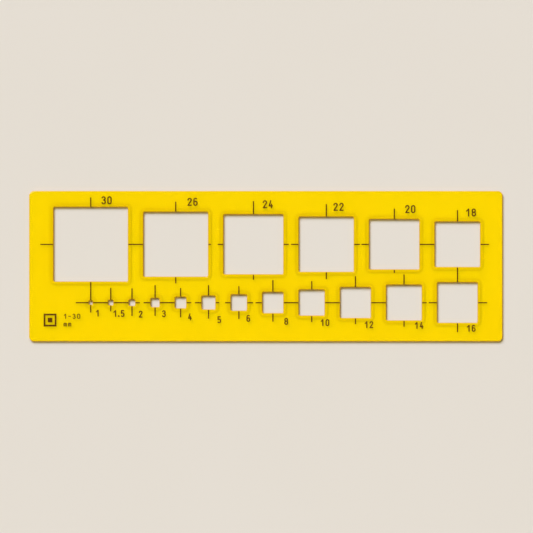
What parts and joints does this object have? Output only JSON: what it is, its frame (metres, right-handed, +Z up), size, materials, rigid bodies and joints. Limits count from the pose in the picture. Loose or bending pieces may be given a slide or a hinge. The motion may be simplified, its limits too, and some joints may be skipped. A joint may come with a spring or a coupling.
{
  "type": "squares template",
  "caption": "Flat yellow transparent plastic template with rows of graded square cut-outs, centre lines and size numerals, for marking squares on quilting cloth or paper.",
  "frame": {"origin": "middle of the flat underside, on the surface that the template lies on", "axes": "+X along the template, towards the end with the smallest large square; +Y across it, towards the row of large squares; +Z up, out of the printed face"},
  "size_m": [0.195, 0.062, 0.0012],
  "materials": {
    "amber_sheet": "clear amber-yellow acrylic, glossy, with duller stepped rims round the openings",
    "ink": "dark brown-black ink in shallow engraving, flush with the face"
  },
  "bodies": {
    "root": {"template_sheet": "amber_sheet", "centre_line_large": "ink", "centre_line_small": "ink", "link_line_left": "ink", "link_line_right": "ink", "range_mark": "ink", "numeral_30": "ink", "ticks_30": "ink", "numeral_26": "ink", "ticks_26": "ink", "numeral_24": "ink", "ticks_24": "ink", "numeral_22": "ink", "ticks_22": "ink", "numeral_20": "ink", "ticks_20": "ink", "numeral_18": "ink", "ticks_18": "ink", "numeral_1": "ink", "ticks_1": "ink", "numeral_1_5": "ink", "ticks_1_5": "ink", "numeral_2": "ink", "ticks_2": "ink", "numeral_3": "ink", "ticks_3": "ink", "numeral_4": "ink", "ticks_4": "ink", "numeral_5": "ink", "ticks_5": "ink", "numeral_6": "ink", "ticks_6": "ink", "numeral_8": "ink", "ticks_8": "ink", "numeral_10": "ink", "ticks_10": "ink", "numeral_12": "ink", "ticks_12": "ink", "numeral_14": "ink", "ticks_14": "ink", "numeral_16": "ink", "ticks_16": "ink"}
  },
  "joints": []
}
